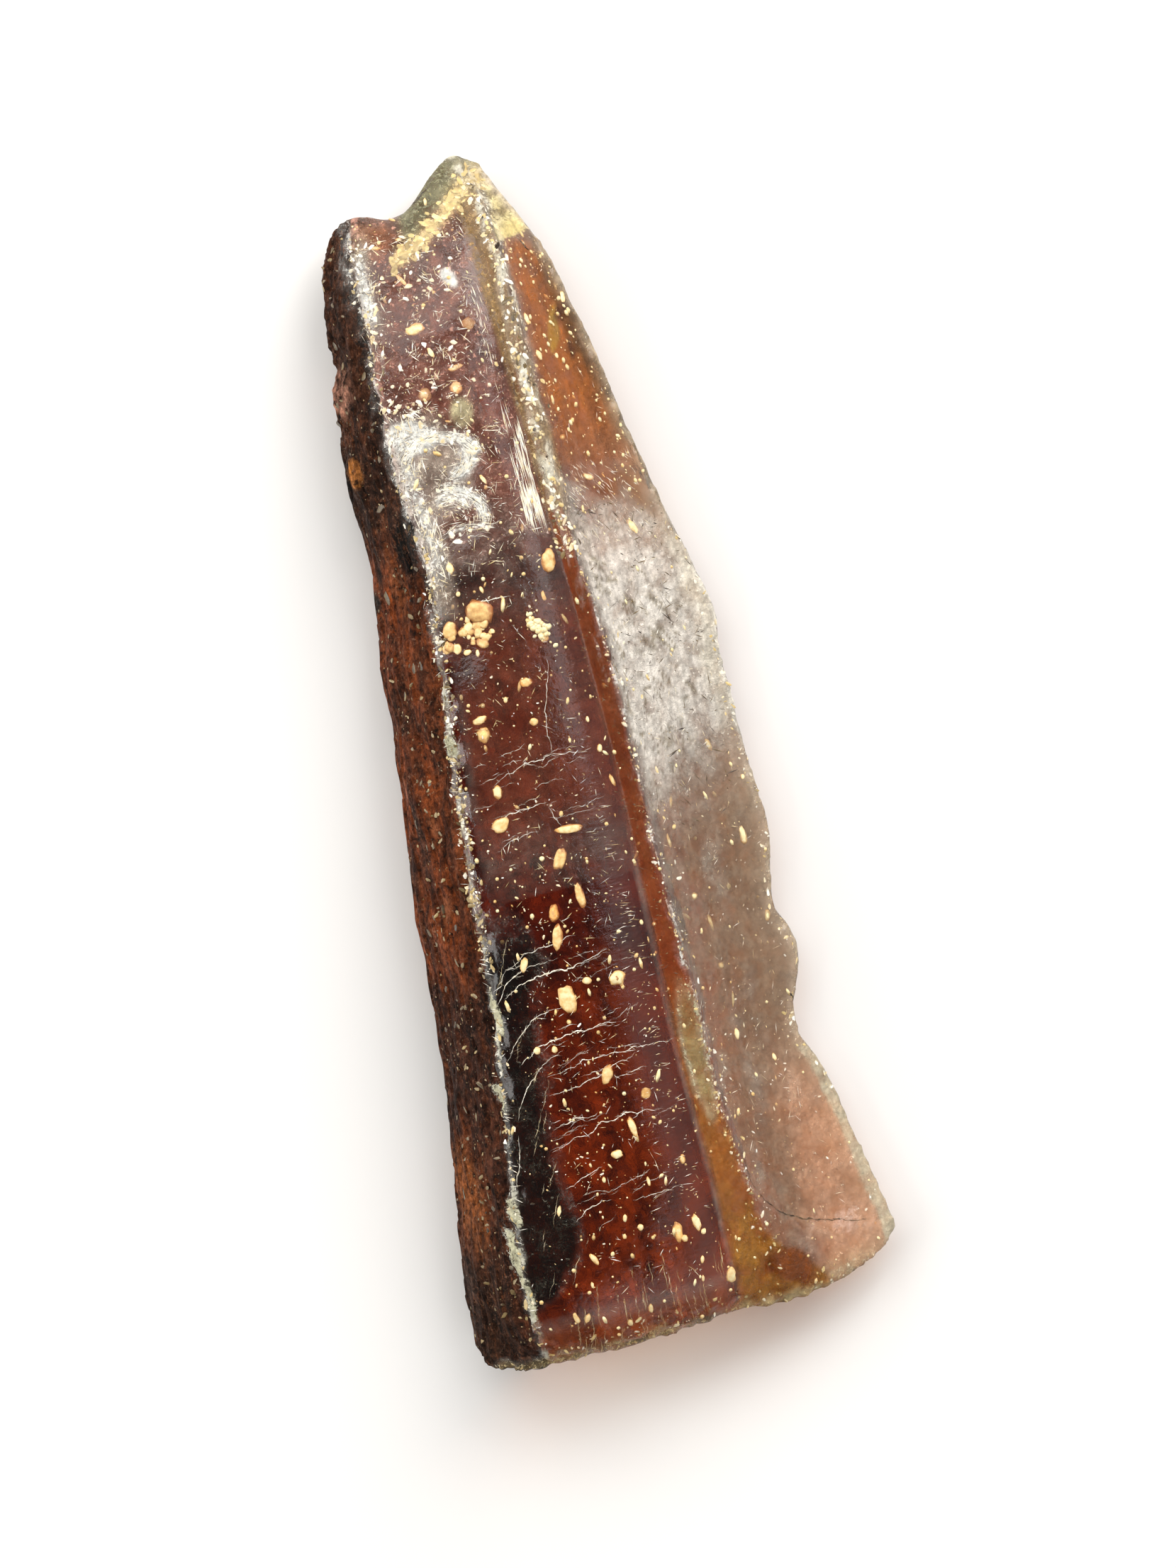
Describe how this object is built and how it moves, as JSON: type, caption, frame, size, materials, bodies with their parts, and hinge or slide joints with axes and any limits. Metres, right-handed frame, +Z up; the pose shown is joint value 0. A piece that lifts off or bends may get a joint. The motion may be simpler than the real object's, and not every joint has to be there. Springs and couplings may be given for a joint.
{
  "type": "raw amber shard",
  "caption": "Long wedge-shaped shard of raw red-brown amber with a weathered bark-like rind, a glassy ridged top, a thin translucent wing, pale flecks and hairline cracks.",
  "frame": {"origin": "middle of the shard's outline seen from above, on the plane that it rests on", "axes": "+Y from the broad broken end to the pointed end, +X from the weathered side wall to the thin wing, +Z up from the resting face"},
  "size_m": [0.0282, 0.0766, 0.01],
  "materials": {
    "amber": "gloss",
    "flecks": "satin"
  },
  "bodies": {
    "root": {"raw_amber": "amber"}
  },
  "joints": []
}
